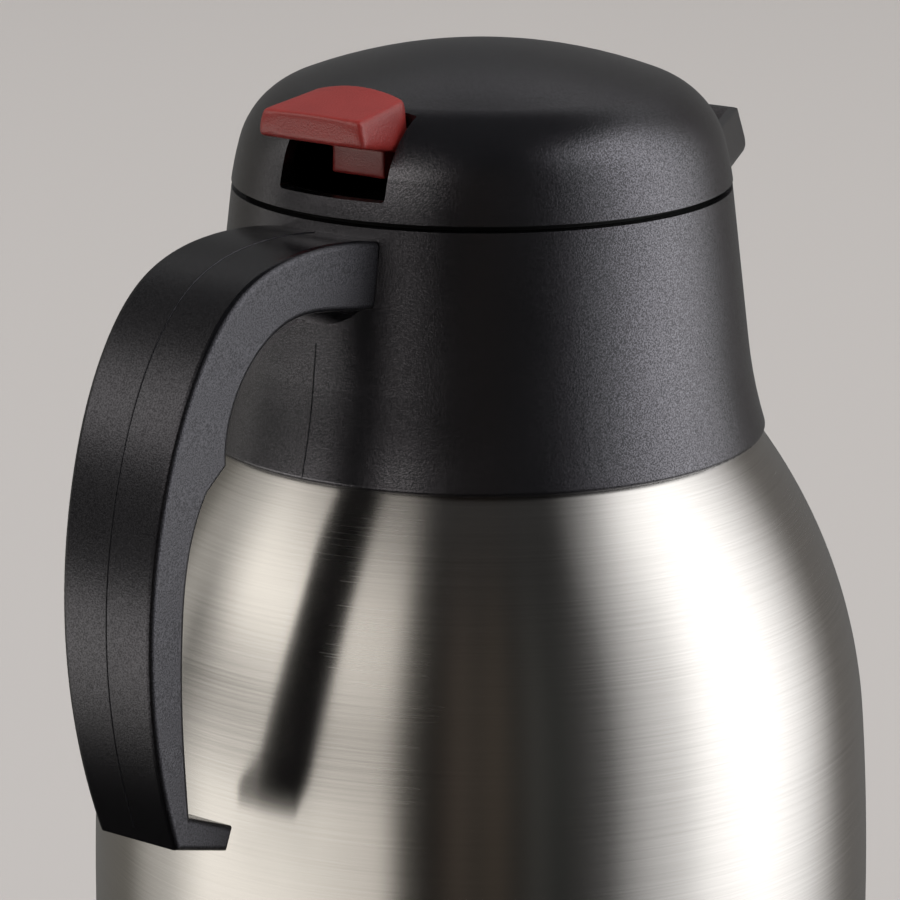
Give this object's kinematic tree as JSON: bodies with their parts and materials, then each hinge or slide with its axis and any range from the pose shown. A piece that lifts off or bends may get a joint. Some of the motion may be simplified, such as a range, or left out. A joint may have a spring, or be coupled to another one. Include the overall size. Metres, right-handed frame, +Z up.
{
  "type": "thermal carafe",
  "caption": "Double-walled steel vacuum carafe with a moulded collar, pouring beak, open-ended handle and a domed lid whose thumb lever opens a spring-closed stopper valve.",
  "frame": {"origin": "centre of the rubber foot ring's underside", "axes": "+Z up along the body's axis, +X towards the pouring beak, the handle towards -X"},
  "size_m": [0.1902, 0.1512, 0.2509],
  "materials": {
    "brushed_steel": "brushed around the body",
    "plain_steel": "satin, as drawn",
    "hardware_steel": "bright",
    "black_plastic": "fine spark-eroded grain",
    "red_plastic": "satin",
    "white_plastic": "smooth",
    "silicone": "soft",
    "foot_rubber": "matte"
  },
  "bodies": {
    "vessel": {"outer_shell": "brushed_steel", "outer_shoulder": "brushed_steel", "liner_floor": "plain_steel", "inner_liner": "plain_steel", "liner_shoulder": "plain_steel", "liner_neck": "plain_steel", "base_plate": "plain_steel", "vacuum_cap": "plain_steel", "foot_ring": "foot_rubber", "collar": "black_plastic", "mouth_gasket": "silicone", "neck_ring": "black_plastic", "handle_arm": "black_plastic", "handle_cover": "black_plastic", "handle_screws": "hardware_steel"},
    "lid": {"lid_dome": "black_plastic", "stopper_deck": "black_plastic", "stopper_plug": "black_plastic", "deck_seal": "silicone", "stopper_gasket": "silicone", "rod_seal": "silicone", "lever_pin": "hardware_steel", "lid_screws": "hardware_steel"},
    "lever": {"thumb_lever": "red_plastic"},
    "valve": {"valve_rod": "hardware_steel", "push_cap": "white_plastic", "valve_plate": "white_plastic", "valve_gasket": "silicone", "rod_clip": "hardware_steel", "valve_spring": "hardware_steel"}
  },
  "joints": [
    {"name": "lid_lift", "type": "slide", "parent": "vessel", "child": "lid", "axis": [0, 0, 1], "range_m": [0, 0.11]},
    {"name": "lever_press", "type": "hinge", "parent": "lid", "child": "lever", "pos_m": [0.026, 0, 0.234], "axis": [0, -1, 0], "range_deg": [0, 6], "stiffness_Nm_per_rad": 4, "springref_deg": -5.73},
    {"name": "valve_slide", "type": "slide", "parent": "lid", "child": "valve", "axis": [0, 0, -1], "range_m": [0, 0.0028], "deforming": ["valve_spring"]}
  ],
  "couplings": [
    {"joint": "valve_slide", "follows": "lever_press", "m_per_rad": 0.026}
  ]
}
